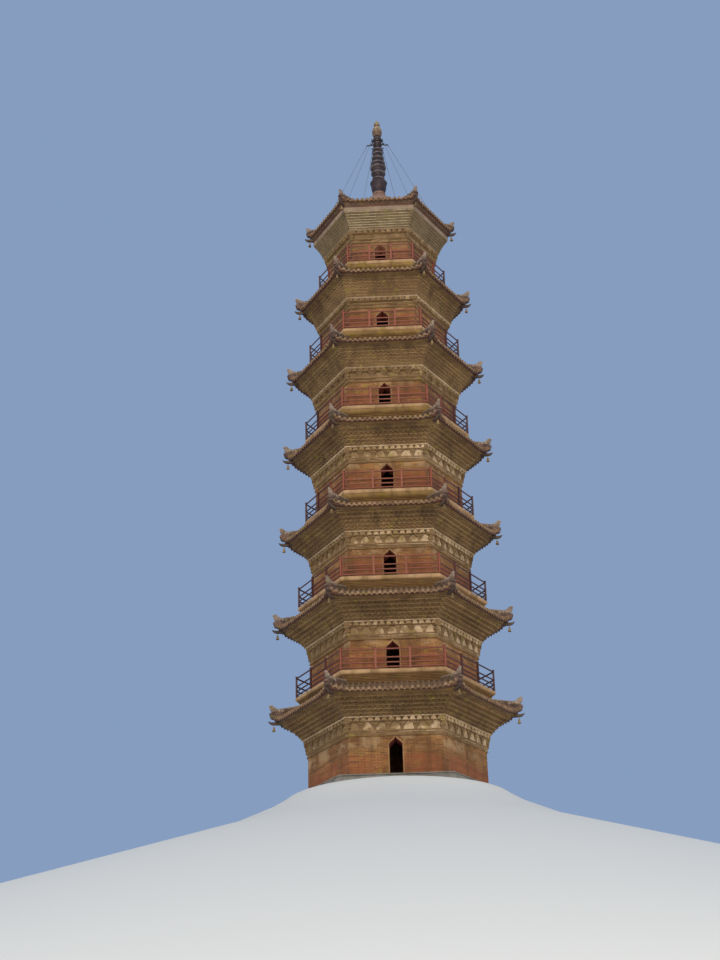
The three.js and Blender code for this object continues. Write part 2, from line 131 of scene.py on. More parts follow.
# Camera: the photograph's viewpoint and aim
CAMERA_DISTANCE = 70.59
CAMERA_HEIGHT = -15.88
CAMERA_BEARING = math.radians(0.77)
CAMERA_PAN = math.radians(-1.96)
CAMERA_PITCH = math.radians(24.86)
CAMERA_ROLL = math.radians(-1.37)
CAMERA_LENS = 56.25

# Studio: display colours, and for each light its place, the level on the axis that it is aimed
# at, its size, power and colour
SKY = "869dbf"
FLOOR = "e2e0da"
LIGHTS = {
    "key": ((-14, -85, 60), 18, 30, 42000, (1.0, 0.91, 0.72)),
    "low_fill": ((10, -75, -6), 20, 40, 15000, (1.0, 0.90, 0.72)),
    "left_fill": ((-80, -10, 2), 20, 14, 10000, (1.0, 0.89, 0.70)),
    "right_fill": ((80, -10, 2), 20, 14, 16000, (1.0, 0.91, 0.74)),
}


class Shape:
    """Points and faces of a piece, with texture coordinates in metres for each face corner."""

    def __init__(self, points=(), faces=()):
        self.points = list(points)
        self.faces = list(faces)
        self.coords = [flat_coords([points[i] for i in face]) for face in faces]

    def join(self, other, turn=0.0):
        """Adds another shape, turned about the tower's axis."""
        start = len(self.points)
        cos, sin = math.cos(turn), math.sin(turn)
        self.points += [(x * cos - y * sin, x * sin + y * cos, z) for x, y, z in other.points]
        self.faces += [[start + i for i in face] for face in other.faces]
        self.coords += other.coords
        return self

    def weld(self):
        """Joins points that lie in one place, and drops faces that have closed up."""
        places = {}
        kept, number = [], []
        for point in self.points:
            key = tuple(round(value, 4) for value in point)
            if key not in places:
                places[key] = len(kept)
                kept.append(point)
            number.append(places[key])
        faces, coords = [], []
        for face, spots in zip(self.faces, self.coords):
            corners = [(number[i], spot) for i, spot in zip(face, spots)]
            corners = [c for n, c in enumerate(corners) if c[0] != corners[n - 1][0]]
            if len({c[0] for c in corners}) > 2:
                faces.append([c[0] for c in corners])
                coords.append([c[1] for c in corners])
        self.points, self.faces, self.coords = kept, faces, coords
        return self


def flat_coords(corners):
    """Texture coordinates of a face: its points seen square on along the nearest axis."""
    across, along, up = (abs(value) for value in geometry.normal([Vector(p) for p in corners]))
    if up > max(across, along):
        return [(p[0], p[1]) for p in corners]
    if along >= across:
        return [(p[0], p[2]) for p in corners]
    return [(p[1], p[2]) for p in corners]


def joined(shapes):
    whole = Shape()
    for shape in shapes:
        whole.join(shape)
    return whole


def around(shape, turns=range(SIDES)):
    """The shape repeated about the tower's axis."""
    whole = Shape()
    for n in turns:
        whole.join(shape, n * SECTOR)
    return whole


def moved(outline, out, up):
    """An outline moved in its plane. A third value, the rise at the corners, stays as it is."""
    return [(out + x, up + z, *rise) for x, z, *rise in outline]


def mirrored(right, middle=0.0):
    """A closed outline on both sides of a middle, from its right-hand half."""
    left = [(middle - x, z) for x, z in reversed(right) if x]
    return [(middle + x, z) for x, z in right] + left


def arc(steps, start=0.0, sweep=math.tau):
    """Points of the unit circle. A full turn stops one step short of its start."""
    count = steps if sweep == math.tau else steps + 1
    angles = [start + sweep * i / steps for i in range(count)]
    return [(math.cos(a), math.sin(a)) for a in angles]


def loft(rings, ends=True):
    """A skin through rings of as many points each, closed at both ends unless told not to."""
    count = len(rings[0])
    points = [point for ring in rings for point in ring]
    faces = []
    for n in range(len(rings) - 1):
        low, high = n * count, (n + 1) * count
        faces += [[low + i, low + (i + 1) % count, high + (i + 1) % count, high + i]
                  for i in range(count)]
    if ends:
        faces += [list(range(count)), list(range(len(points) - 1, len(points) - count - 1, -1))]
    return Shape(points, faces)


def prism(outline, near, far):
    """A slab between two values of y, from its outline in x and z."""
    return loft([[(x, y, z) for x, z in outline] for y in (near, far)])


def block(x, y, z):
    """A box from three (low, high) pairs."""
    return prism([(x[0], z[0]), (x[1], z[0]), (x[1], z[1]), (x[0], z[1])], *y)


def band(profile):
    """A moulding with mitred corners all round the tower, from its closed outline. Each point
    is (apothem, level), with its rise at the corners after them where it has one."""
    columns = EDGE_STEPS if any(len(point) > 2 for point in profile) else 1
    rings = []
    for n in range(columns + 1):
        share = 2 * n / columns - 1
        rings.append([(apothem * TAN * share, -apothem, level + sum(rise) * curl(abs(share)))
                      for apothem, level, *rise in profile])
    return around(loft(rings, ends=False)).weld()


def square_band(inner, outer, low, high):
    """A band with a square section."""
    return band([(inner, low), (outer, low), (outer, high), (inner, high)])


def lathe(profile, segments=ROUND_STEPS, centre=0.0):
    """A body of revolution about a vertical line at x = centre, from its (radius, level)
    outline, which starts and ends on the line or closes on itself."""
    if profile[0][0] > 0:
        profile = [*profile, profile[0]]
    rings = [[(centre + radius * u, radius * v, level) for u, v in arc(segments)]
             for radius, level in profile]
    return loft(rings, ends=False).weld()


def stud(x, z, profile):
    """A round knob along y, from its (radius, y) outline."""
    return loft([[(x + radius * u, y, z + radius * v) for u, v in arc(10)]
                 for radius, y in profile])


def tube(path, radii, segments=8):
    """A round rod along a path of points, with a radius for each."""
    path = [Vector(point) for point in path]
    rings = []
    for n, (point, radius) in enumerate(zip(path, radii)):
        along = (path[min(n + 1, len(path) - 1)] - path[max(n - 1, 0)]).normalized()
        aside = along.orthogonal().normalized() if n == 0 else (aside - along * aside.dot(along))
        aside.normalize()
        other = along.cross(aside)
        rings.append([tuple(point + radius * (aside * u + other * v)) for u, v in arc(segments)])
    return loft(rings)


def pillow(outline, half_width, inset=0.90):
    """A carved slab in the x-z plane with rounded edges. half_width(x, z) gives its half
    thickness at a point."""
    count = len(outline)
    middle = (sum(x for x, _ in outline) / count, sum(z for _, z in outline) / count)
    rings = []
    for side, depth, scale in ((-1, 1, inset), (-1, 0.55, 1), (1, 0.55, 1), (1, 1, inset)):
        rings.append([(middle[0] + (x - middle[0]) * scale, side * depth * half_width(x, z),
                       middle[1] + (z - middle[1]) * scale) for x, z in outline])
    return loft(rings)


def curl(share):
    """How far an eave's edge has risen, from 0 to 1, by the share of the way from mid-side to
    a corner."""
    part = max(0, (share - CORNER_RISE_START) / (1 - CORNER_RISE_START))
    return part * part


def add_object(name, data):
    obj = bpy.data.objects.new(name, data)
    bpy.context.scene.collection.objects.link(obj)
    return obj


def add_mesh(name, shape, material, sharp):
    """The shape as a smooth object, with its edges kept sharp from an angle up."""
    mesh = bpy.data.meshes.new(name)
    mesh.from_pydata(shape.points, [], shape.faces)
    layer = mesh.uv_layers.new(name="metres")
    layer.data.foreach_set("uv", [value for face in shape.coords for spot in face for value in spot])
    work = bmesh.new()
    work.from_mesh(mesh)
    bmesh.ops.recalc_face_normals(work, faces=work.faces)
    work.to_mesh(mesh)
    work.free()
    mesh.polygons.foreach_set("use_smooth", [True] * len(mesh.polygons))
    mesh.set_sharp_from_angle(angle=math.radians(sharp))
    mesh.materials.append(material)
    return add_object(name, mesh)


def piece(name, shape, material, slot, node=None, bevel=0.0):
    """Makes the object, riding on the tower, in place of the named solid."""
    obj = add_mesh(name, shape, material, 35)
    if bevel:
        edge = obj.modifiers.new("edges", "BEVEL")
        edge.width = bevel
        edge.segments = 2
        edge.limit_method = "ANGLE"
    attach(obj, "root")
    if node:
        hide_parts(node)


class Storey:
    """Measures of one storey and its tiled roof, read from the solids. The roof runs from its
    edge to its foot under the next deck or the spire."""

    def __init__(self, number):
        low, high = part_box(f"wall_{number}")
        self.number = number
        self.top_one = number == STOREYS
        self.worn = number >= WORN_FROM
        self.plaster = WORN if self.worn else PLASTER
        self.floor = low.z
        self.wall = high.y
        self.wall_top = high.z
        self.string = low.z + STRING_TOPS[number - 1]
        self.bracket_foot = self.wall_top + ARCHITRAVE_TOP + BRACKET_LEDGE
        self.cap_top = self.string - STRING_DEPTH
        self.bracket_top = self.cap_top - CAP_ROW
        self.door = DOOR_HEIGHTS[number - 1]
        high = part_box(f"cornice_{number}")[1]
        self.tip = high.y
        self.cornice_top = high.z
        self.flare_top = high.z - (TOP_FASCIA if self.top_one else 0)
        self.edge = self.tip + OVERHANG[self.top_one]
        self.lift = EDGE_LIFT[self.top_one]
        self.rise = CORNER_RISE[self.top_one]
        self.sag = ROOF_SAG[self.top_one]
        if number > 1:
            self.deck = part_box(f"deck_{number}")[1].y
        if self.top_one:
            self.roof_node = "top_roof"
            self.brick_top = self.cornice_top + EDGE_LIFT[0]
            self.foot, self.foot_level = TOP_ROOF_FOOT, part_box("spire_base")[0].z
        else:
            self.roof_node = f"eave_{number}"
            low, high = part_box(f"deck_{number + 1}")
            self.brick_top = low.z
            self.foot, self.foot_level = high.y - DECK_CORBEL, low.z + FOOT_LIFT

    def piece(self, name, *facts, **settings):
        """Makes a piece with the storey's number after its name."""
        piece(f"{name}_{self.number}", *facts, **settings)

    def face(self, level):
        """The apothem of the flare's face."""
        foot = self.wall + STRING_REACH
        t = (level - self.string) / (self.flare_top - self.string)
        return foot + (self.tip - foot) * (t - FLARE_BULGE * 4 * t * (1 - t))

    def part(self, apothem):
        """The share of the way up the roof."""
        return (self.edge - apothem) / (self.edge - self.foot)

    def level(self, apothem, along=0.0):
        """The level of the tiles."""
        part = self.part(apothem)
        rise = self.rise * curl(min(1, abs(along) / (apothem * TAN))) * (1 - part)
        start = self.cornice_top + self.lift + EDGE_DEPTH
        return start + (self.foot_level - start) * (part - self.sag * 4 * part * (1 - part)) + rise

    def hip(self, apothem):
        return self.level(apothem, apothem * TAN)

    def crest(self, apothem):
        """The top of the hip's ridge."""
        part = min(1, self.part(apothem))
        return self.hip(apothem) + (RIDGE_HEIGHT + (RIDGE_FOOT_HEIGHT - RIDGE_HEIGHT) * part)

    def at_corners(self, shape, size=1.0):
        """A shape drawn about the tip of the eave's corner, set at all of them."""
        radius, level = self.edge * CORNER, self.hip(self.edge)
        shape.points = [(x * size + radius, y, z * size + level) for x, y, z in shape.points]
        return around(shape)


# Materials

def tone(colour):
    """A display colour, in six hexadecimal digits, as the linear colour that shaders take."""
    values = [value / 255 for value in bytes.fromhex(colour)]
    return [v / 12.92 if v < 0.04045 else ((v + 0.055) / 1.055) ** 2.4 for v in values] + [1.0]


class Look:
    """A procedural material, put together from nodes. Its colour is built up in layers."""

    def __init__(self, name, roughness, metallic=0.0):
        self.material = bpy.data.materials.new(name)
        self.material.use_nodes = True
        self.tree = self.material.node_tree
        self.tree.nodes.clear()
        self.shader = self.node("BsdfPrincipled", {"Metallic": metallic})
        self.node("OutputMaterial", {"Surface": self.shader.outputs[0]})
        self.rough = roughness
        self.place = self.node("TexCoord").outputs["Object"]
        spot = self.node("SeparateXYZ", {"Vector": self.place}).outputs
        self.across, self.level = spot["X"], spot["Z"]
        self.metres = self.node("UVMap", uv_map="metres").outputs[0]
        normal = self.node("NewGeometry").outputs["Normal"]
        facing = self.node("SeparateXYZ", {"Vector": normal}).outputs
        self.upward, self.backward = facing["Z"], facing["Y"]

    def node(self, kind, inputs=None, **settings):
        made = self.tree.nodes.new("ShaderNode" + kind)
        for name, value in settings.items():
            setattr(made, name, value)
        for name, value in (inputs or {}).items():
            if isinstance(value, bpy.types.NodeSocket):
                self.tree.links.new(value, made.inputs[name])
            else:
                made.inputs[name].default_value = value
        return made

    def noise(self, scale, detail=4.0, roughness=0.55, stretch=None):
        inputs = {"Vector": self.place, "Scale": scale, "Detail": detail, "Roughness": roughness}
        if stretch:
            mapping = self.node("Mapping", {"Vector": self.place, "Scale": stretch})
            inputs["Vector"] = mapping.outputs[0]
        return self.node("TexNoise", inputs).outputs[0]

    def between(self, value, low, high):
        """0 where the value is low, 1 where it is high, and smooth between."""
        inputs = {"Value": value, "From Min": low, "From Max": high}
        return self.node("MapRange", inputs, interpolation_type="SMOOTHSTEP").outputs[0]

    def patches(self, scale, low, high, roughness=0.7):
        """Blotches with crumbled edges."""
        return self.between(self.noise(scale, 6.0, roughness), low, high)

    def math(self, operation, *values):
        return self.node("Math", dict(enumerate(values)), operation=operation).outputs[0]

    def times(self, first, second):
        return self.math("MULTIPLY", first, second)

    def mix(self, factor, first, second):
        places = {0: factor, 6: first, 7: second}
        return self.node("Mix", places, data_type="RGBA").outputs[2]

    def ground(self, noise, light, dark):
        """Starts the colour with broad patches of two tones."""
        self.colour = self.mix(self.between(noise, 0.35, 0.65), tone(light), tone(dark))

    def layer(self, mask, share, colour):
        """Lays a colour over the present one where the mask is 1, up to a share."""
        self.colour = self.mix(self.times(mask, share), self.colour, tone(colour))

    def finish(self, height, distance, strength=0.7):
        """Sets the colour, an uneven roughness and a bump from a height."""
        low, high = self.rough
        patches = self.node("MapRange", {"Value": self.noise(9.0), "To Min": low, "To Max": high})
        bump = self.node("Bump", {"Height": height, "Distance": distance, "Strength": strength})
        values = {"Base Color": self.colour, "Roughness": patches.outputs[0],
                  "Normal": bump.outputs[0]}
        for name, value in values.items():
            self.tree.links.new(value, self.shader.inputs[name])
        return self.material


def masonry(name, light, dark, mortar, streak, moss, moss_from, brick=(0.30, 0.072), joint=0.008,
            banded=0.6, run=0.75, dado=None):
    """Coursed brick or stone, stained in streaks, with patches of moss and lime. Up to a level,
    if one is given, it has a red wash, with old limewash over that and grime on both."""
    look = Look(name, (0.8, 0.97))
    bricks = look.node("TexBrick", {
        "Vector": look.metres, "Color1": tone(light), "Color2": tone(dark),
        "Mortar": tone(mortar), "Scale": 1.0, "Mortar Size": joint, "Mortar Smooth": 0.4,
        "Bias": -0.1, "Brick Width": brick[0], "Row Height": brick[1],
    }).outputs
    look.colour = bricks["Color"]
    look.layer(look.between(look.noise(0.55, 5.0), 0.38, 0.62), 0.65, dark)
    bands = look.noise(1.0, stretch=(0.3, 0.3, 5.0))
    look.layer(look.between(bands, 0.48, 0.64), banded, streak)
    if dado:
        below = look.between(look.level, dado + 0.08, dado - 0.12)
        look.layer(look.times(below, look.patches(1.9, 0.30, 0.60)), 0.62, DADO_RED)
        above = look.between(look.level, dado + 0.1, dado + 0.45)
        look.layer(look.times(above, look.patches(1.3, 0.48, 0.60, 0.65)), 0.62, LIMEWASH)
        look.layer(look.patches(2.7, 0.52, 0.66), 0.35, streak)
    runs = look.noise(1.6, 5.0, stretch=(1.0, 1.0, 0.16))
    look.layer(look.between(runs, 0.46, 0.72), run, streak)
    look.layer(look.patches(2.3, moss_from, moss_from + 0.12), 0.7, moss)
    look.layer(look.patches(4.1, 0.62, 0.74, 0.75), 0.45, mortar)
    height = look.mix(0.35, bricks["Fac"], look.noise(38.0))
    return look.finish(look.node("Invert", {"Color": height}).outputs[0], 0.02)


def rendered(name, light, dark, stain, moss, moss_from=0.56, stain_from=0.45, bare=None,
             bare_from=0.47, sides=None, below=None):
    """Lime plaster or cement, weathered in patches and runs. It may be lost in patches, more of
    them to the left, that show the bare colour, have other colours away from the front, and take
    a painted shade where it looks down."""
    look = Look(name, (0.75, 0.95))
    look.ground(look.noise(1.1, 6.0, 0.65), light, dark)
    if sides:
        look.layer(look.between(look.math("ABSOLUTE", look.backward), 0.9, 0.6), 0.9, sides)
    if bare:
        left = look.times(look.between(look.across, 0.6, -2.6), 0.17)
        lost = look.math("ADD", look.noise(1.7, 6.0, 0.68), left)
        look.layer(look.between(lost, bare_from, bare_from + 0.09), 0.92, bare)
    runs = look.noise(2.4, 6.0, 0.65, (1.0, 1.0, 0.2))
    look.layer(look.between(runs, stain_from, 0.7), 0.8, stain)
    look.layer(look.patches(1.9, moss_from, moss_from + 0.1), 0.75, moss)
    # painted shade: faces that look down take the below colour
    if below:
        look.layer(look.between(look.upward, -0.3, -0.8), 0.9, below)
    cracks = look.node("TexVoronoi", {"Vector": look.place, "Scale": 3.2},
                       feature="DISTANCE_TO_EDGE").outputs["Distance"]
    look.layer(look.between(cracks, 0.03, 0.0), 0.35, stain)
    return look.finish(look.mix(0.4, look.noise(26.0, 5.0), cracks), 0.012, 0.5)


def fired(name, light, dark, bloom_and_highlight, moss):
    """Fired clay with lichen. Faces that look up are paler, partly lichen bloom and partly a painted
    highlight; faces that look down are darker, a painted shade.
    """
    look = Look(name, (0.7, 0.95))
    look.ground(look.noise(3.4, 5.0), light, dark)
    # painted highlight: faces that look up take the bloom's paler tone
    look.layer(look.between(look.upward, 0.0, 0.9), 0.5, bloom_and_highlight)
    # painted shade: faces that look down take the dark tone
    look.layer(look.between(look.upward, 0.1, -0.8), 0.6, dark)
    look.layer(look.patches(7.0, 0.55, 0.68), 0.6, bloom_and_highlight)
    look.layer(look.patches(1.7, 0.56, 0.66), 0.65, moss)
    return look.finish(look.noise(30.0, 5.0), 0.01, 0.6)


def painted_wood(name, light, dark, bare, front_highlight=None):
    """Red-brown paint on timber, worn through in places, with a painted highlight on faces to the
    front and painted shade on those that look down and towards the outer corners."""
    look = Look(name, (0.45, 0.75))
    look.ground(look.noise(1.3, 5.0), light, dark)
    if front_highlight:
        # painted highlight: faces to the front, near the tower's middle, are made paler
        aside = look.math("ABSOLUTE", look.across)
        front = look.times(look.between(look.backward, -0.25, -0.97),
                           look.between(aside, 3.4, 2.7))
        look.layer(front, look.patches(2.1, 0.15, 0.50), front_highlight)
        # painted shade towards the outer corners, on the railings at the tower's left and right
        look.layer(look.between(aside, 2.4, 3.7), 0.75, dark)
    # painted shade on faces that look down, such as the rails' lower halves
    look.layer(look.between(look.upward, -0.2, -0.6), 0.85, dark)
    fibre = look.noise(5.0, 5.0, stretch=(1.0, 1.0, 9.0))
    look.layer(look.between(fibre, 0.5, 0.75), 0.5, dark)
    look.layer(look.patches(11.0, 0.6, 0.7), 0.6, bare)
    return look.finish(fibre, 0.006, 0.5)


def cast_metal(name, light, dark, rust, roughness, metallic, rust_from, darker_below=0.0):
    """Cast metal, with rust or tarnish gathering in patches, and darker in the same dark tone below
    a level if one is given.
    """
    look = Look(name, roughness, metallic)
    look.ground(look.noise(3.0, 5.0), light, dark)
    if darker_below:
        # darker towards the bottom, below the given level
        look.layer(look.between(look.level, darker_below + 0.25, darker_below - 0.15), 0.85, rust)
    look.layer(look.patches(5.5, rust_from, rust_from + 0.12), 0.7, rust)
    return look.finish(look.noise(45.0, 5.0), 0.006, 0.5)


def wall_brick(storey):
    light, dark = "b27437", "6e4420"
    if storey.top_one:
        light, dark = "a8794a", "765436"
    return masonry(f"wall_brick_{storey.number}", light, dark, "c09a68", "644022",
                   "9c8036", 0.57, joint=0.011, dado=storey.floor + DADO_TOP)


DADO_RED = "a05432"
LIMEWASH = "ba9a70"
FLARE = masonry("flare_brick", "8e6c40", "6e5030", "a2865c", "523a23", "948434", 0.56, banded=0.25,
                run=0.6)
COURSE = masonry("course_brick", "a07b4c", "7d5c39", "ac9168", "583f27", "9e8e38", 0.56,
                 banded=0.25, run=0.6)
BRACKET = masonry("bracket_brick", "a27c50", "7e5e3a", "b09268", "5e4428", "9a8838", 0.55,
                  banded=0.2, run=0.5)
DARK_BRICK = masonry("corbel_brick", "987040", "7c5a34", "96764a", "5e4426", "887432", 0.54,
                     banded=0.3, run=0.5)
TOP_BRICK = masonry("top_flare_brick", "826b49", "644f34", "96805e", "503d28", "7e723a", 0.55,
                    banded=0.3, run=0.7)
STONE = masonry("plinth_granite", "969086", "807a70", "686258", "645e52", "74764e", 0.62,
                brick=(0.95, 0.23), joint=0.012)
PLASTER = rendered("lime_plaster", "d6b892", "b4946e", "80623e", "a08c3e", 0.57, 0.50,
                   bare="886a42", bare_from=0.51)
WORN = rendered("worn_plaster", "ac8c64", "90704c", "6a5032", "96843c", 0.56, 0.48, bare="7e603c",
                bare_from=0.43)
FASCIA = rendered("fascia_plaster", "a08870", "8a725e", "745c4a", "8a7848", 0.62, 0.60)
PALE = rendered("pale_line", "e4c8a4", "c4a680", "927450", "baa444", 0.58, 0.54)
DULL = rendered("dull_line", "bea07c", "9e805e", "765a3a", "96843c", 0.58, 0.50)
LEDGE = rendered("ledge_plaster", "e4ceac", "baa27e", "7a6242", "9c8e4a", sides="8a7454")
STAINED = rendered("stained_jamb", "b89062", "8e623c", "704e30", "968042", stain_from=0.40)
LINING = rendered("door_lining", "9e4c38", "7e3a2b", "602c22", "7a4e34", 0.64, 0.55)
# the top doorway's lining is far paler than the others: painted light in its deep reveal
TOP_LINING = rendered("top_door_lining", "e4a684", "cc8a6a", "a0624a", "aa7e52", 0.62, 0.55)
DECK = rendered("deck_plaster", "c69e72", "a8825a", "84643e", "a6883c")
YELLOW = rendered("stained_plaster", "ba945a", "987646", "765a34", "ac8e34", 0.52)
# the beam's below colour is a painted shade on its undersides
BEAM = rendered("beam_plaster", "685444", "4c3c32", "3a2c26", "626a42", 0.58, below="3c261e")
PINK = rendered("spire_plaster", "a68674", "927262", "705648", "9c844a", 0.60)
TILE = fired("roof_clay", "74563c", "503a28", "987c5e", "806c34")
DISC = fired("tile_disc_clay", "a28060", "765840", "b6987a", "96823c")
DRIP = fired("tile_drip_clay", "906e4c", "6a4e33", "9c7c5a", "887434")
LIP = fired("ridge_side_clay", "725842", "543e2e", "866c54", "726234")
CAP = fired("ridge_cap_clay", "967d66", "6e5848", "a89078", "8a7c44")
RIDGE = fired("ridge_clay", "a8917c", "7a6656", "b8a590", "8a8a56")
MOUTH = fired("ornament_clay", "7a5e4e", "48342d", "8e7462", "706642")
BOARDS = painted_wood("edge_board", "74442e", "502e21", "7e5a3c")
# the last colour is the painted highlight on the railings' front faces
RED_WOOD = painted_wood("red_paint", "703022", "3e1c18", "8c5c44", "985036")
IRON = cast_metal("spire_iron", "48383a", "302529", "583e36", (0.5, 0.75), 0.3, 0.53)
RIM = cast_metal("spire_rim", "847878", "62585a", "6e5a52", (0.5, 0.75), 0.2, 0.58)
WIRE = cast_metal("stay_steel", "828492", "6e7080", "686264", (0.5, 0.7), 0.2, 0.60)
BRONZE = cast_metal("bell_bronze", "9e8052", "705a3a", "565038", (0.5, 0.75), 0.1, 0.56)
GILT = cast_metal("finial_gilt", "ccb086", "967e5c", "5c4232", (0.4, 0.65), 0.2, 0.49,
                  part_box("finial")[0].z + GOURD_DARK_TOP)


# Plinth

def plinth():
    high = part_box("plinth")[1]
    edge, top = high.y, high.z
    ledge = [(0, -0.17), (-0.02, -0.14), (-0.10, -0.12), (-0.13, -0.10), (-0.13, -0.07),
             (-0.09, -0.05), (-0.09, -0.02), (-0.11, 0)]
    shape = band([(0, 0), (edge, 0), *moved(ledge, edge, top), (0, top)])
    piece("plinth_stone", shape, STONE, "plinth_stone", "plinth")


# Walls

def door_outline(storey):
    """The doorway from its left foot over the pointed arch to its right foot."""
    half = DOOR_WIDTH / 2
    spring = storey.floor + storey.door - DOOR_ARCH_RISE
    arch = [(1.0, 0), (0.95, 0.10), (0.80, 0.23), (0.68, 0.34), (0.54, 0.455), (0.40, 0.57),
            (0.25, 0.70), (0.11, 0.87), (0, 1)]
    right = [(half, storey.floor)] + [(half * x, spring + DOOR_ARCH_RISE * z) for x, z in arch]
    return [(-x, z) for x, z in right[:-1]] + right[::-1]


def wall_side(storey, door):
    """One side of the wall, with its outer and inner faces and any doorway through it."""
    points = []
    floor, top = storey.floor, storey.brick_top
    for apothem in (storey.wall, storey.wall - WALL_THICKNESS):
        half = apothem * TAN
        outline = [(-half, floor), *door, (half, floor), (half, top), (-half, top)]
        points += [(x, -apothem, z) for x, z in outline]
    count = len(points) // 2
    tunnel = [[i, i + 1, i + 1 + count, i + count] for i in range(count - 3)]
    roof = [count - 2, count - 1, 2 * count - 1, 2 * count - 2]
    inside = list(range(2 * count - 1, count - 1, -1))
    return Shape(points, [list(range(count)), inside, *tunnel, roof])


def walls(storey):
    shape = Shape()
    for n in range(SIDES):
        door = door_outline(storey) if n in DOOR_SIDES else []
        shape.join(wall_side(storey, door), n * SECTOR)
    storey.piece("brick_wall", shape.weld(), wall_brick(storey), "brick",
                 f"wall_{storey.number}")


def door_surrounds(storey):
    """A plaster surround, standing a little proud of the wall and following the arch."""
    outline = door_outline(storey)
    face = -storey.wall
    back = face + FRAME_DEPTH
    rings = []
    for n, (x, z) in enumerate(outline):
        before, after = outline[max(n - 1, 0)], outline[min(n + 1, len(outline) - 1)]
        along = Vector((after[0] - before[0], after[1] - before[1])).normalized()
        out = (x - along.y * DOOR_FRAME, z + along.x * DOOR_FRAME)
        if x == 0:
            out = (0, z + 1.5 * DOOR_FRAME)
        rings.append([(x, back, z), (x, face - 0.015, z), (out[0], face - 0.025, out[1]),
                      (out[0], back, out[1])])
    storey.piece("door_surround", around(loft(rings), DOOR_SIDES), STAINED, "plaster")


def door_linings(storey):
    """A thin painted lining of the jambs and the arch, from the surround to the room. The top
    storey's is paler, a painted light in its deep reveal.
    """
    front, back = -storey.wall + FRAME_DEPTH, -storey.wall + WALL_THICKNESS
    rings = []
    for x, z in door_outline(storey):
        reach = math.copysign(max(0, abs(x) - DOOR_LINING), x)
        lower = z - (DOOR_LINING if z > storey.floor + 0.01 else 0)
        rings.append([(x, front, z), (reach, front, lower), (reach, back, lower), (x, back, z)])
    lining = TOP_LINING if storey.top_one else LINING
    storey.piece("door_lining", around(loft(rings), DOOR_SIDES), lining, "plaster")


# Cornice

def architrave(storey):
    """The moulded beam over the wall: raised and lower panels under a pale fillet."""
    wall, z = storey.wall, storey.wall_top
    shape = band(moved([(-0.1, 0), (0.055, 0), (0.07, 0.015), (0.07, 0.035), (0.015, 0.045),
                        (0.015, 0.165), (0.02, 0.225), (-0.1, 0.225)], wall, z))
    fillet = band(moved([(0, 0.165), (0.055, 0.165), (0.07, 0.175), (0.07, 0.20),
                         (0.055, 0.21), (0, 0.21)], wall, z))
    storey.piece("architrave_fillet", fillet, storey.plaster, "plaster")
    half = (wall + 0.02) * TAN
    low, high, back = z + 0.04, z + 0.168, -wall + 0.05
    spans = [(-half + 0.01, -half + PANEL_END), (-PANEL_MIDDLE, PANEL_MIDDLE),
             (half - PANEL_END, half - 0.01)]
    side = joined(block(span, (-wall - 0.048, back), (low, high)) for span in spans)
    middle = (half - PANEL_END + PANEL_MIDDLE) / 2
    reach = (half - PANEL_END - PANEL_MIDDLE) / 2 - 0.06
    for x in (-middle, middle):
        side.join(block((x - reach, x + reach), (-wall - 0.03, back), (low + 0.04, high - 0.03)))
    shape.join(around(side))
    storey.piece("architrave", shape, BRACKET, "moulded_brick", bevel=0.006)


def bracket(wall, low, high, x, wide, relief):
    """One bracket set between two levels: a foot, and two arms with their bearing blocks.
    Relief is how far they stand out, against the full depth."""
    back = -wall + 0.02

    def level(part):
        return low + (high - low) * part

    foot = mirrored([(0.06, low), (0.08, level(0.2)), (0.08, level(0.34))], x)
    parts = [prism(foot, -wall - 0.03 - 0.06 * relief, back)]
    for half, out, start in ((0.125, 0.07, 0.34), (0.20 * wide, 0.11, 0.66)):
        face = -wall - 0.03 - out * relief
        top = level(start + 0.22)
        arm = [(half - 0.06, level(start)), (half, level(start + 0.14)), (half, top)]
        parts.append(prism(mirrored(arm, x), face, back))
        for middle in (x - half + 0.04, x, x + half - 0.04):
            parts.append(block((middle - 0.04, middle + 0.04), (face - 0.03 * relief, back),
                               (top, level(start + 0.34))))
    return joined(parts)


def bracket_ground(storey):
    """The brick behind the brackets, moulded at its foot and under the caps, with plastered
    panels between the brackets."""
    wall, foot, split = storey.wall, storey.bracket_foot, storey.bracket_top
    ledge = [(-0.1, -0.08), (0.03, -0.08), (0.10, -0.065), (0.10, -0.01), (0.04, 0)]
    row = [(0.03, -0.02), (0.12, -0.015), (0.13, 0.005), (0.05, 0.015)]
    end = [(0.05, 0.01), (-0.1, 0.01)]
    ground = band([*moved(ledge, wall, foot), *moved(row, wall, split),
                   *moved(end, wall, storey.cap_top)])
    storey.piece("bracket_ground", ground, BRACKET, "moulded_brick")
    panels = square_band(wall - 0.05, wall + 0.05, foot + 0.005, split - 0.022)
    storey.piece("bracket_panels", panels, storey.plaster, "plaster")


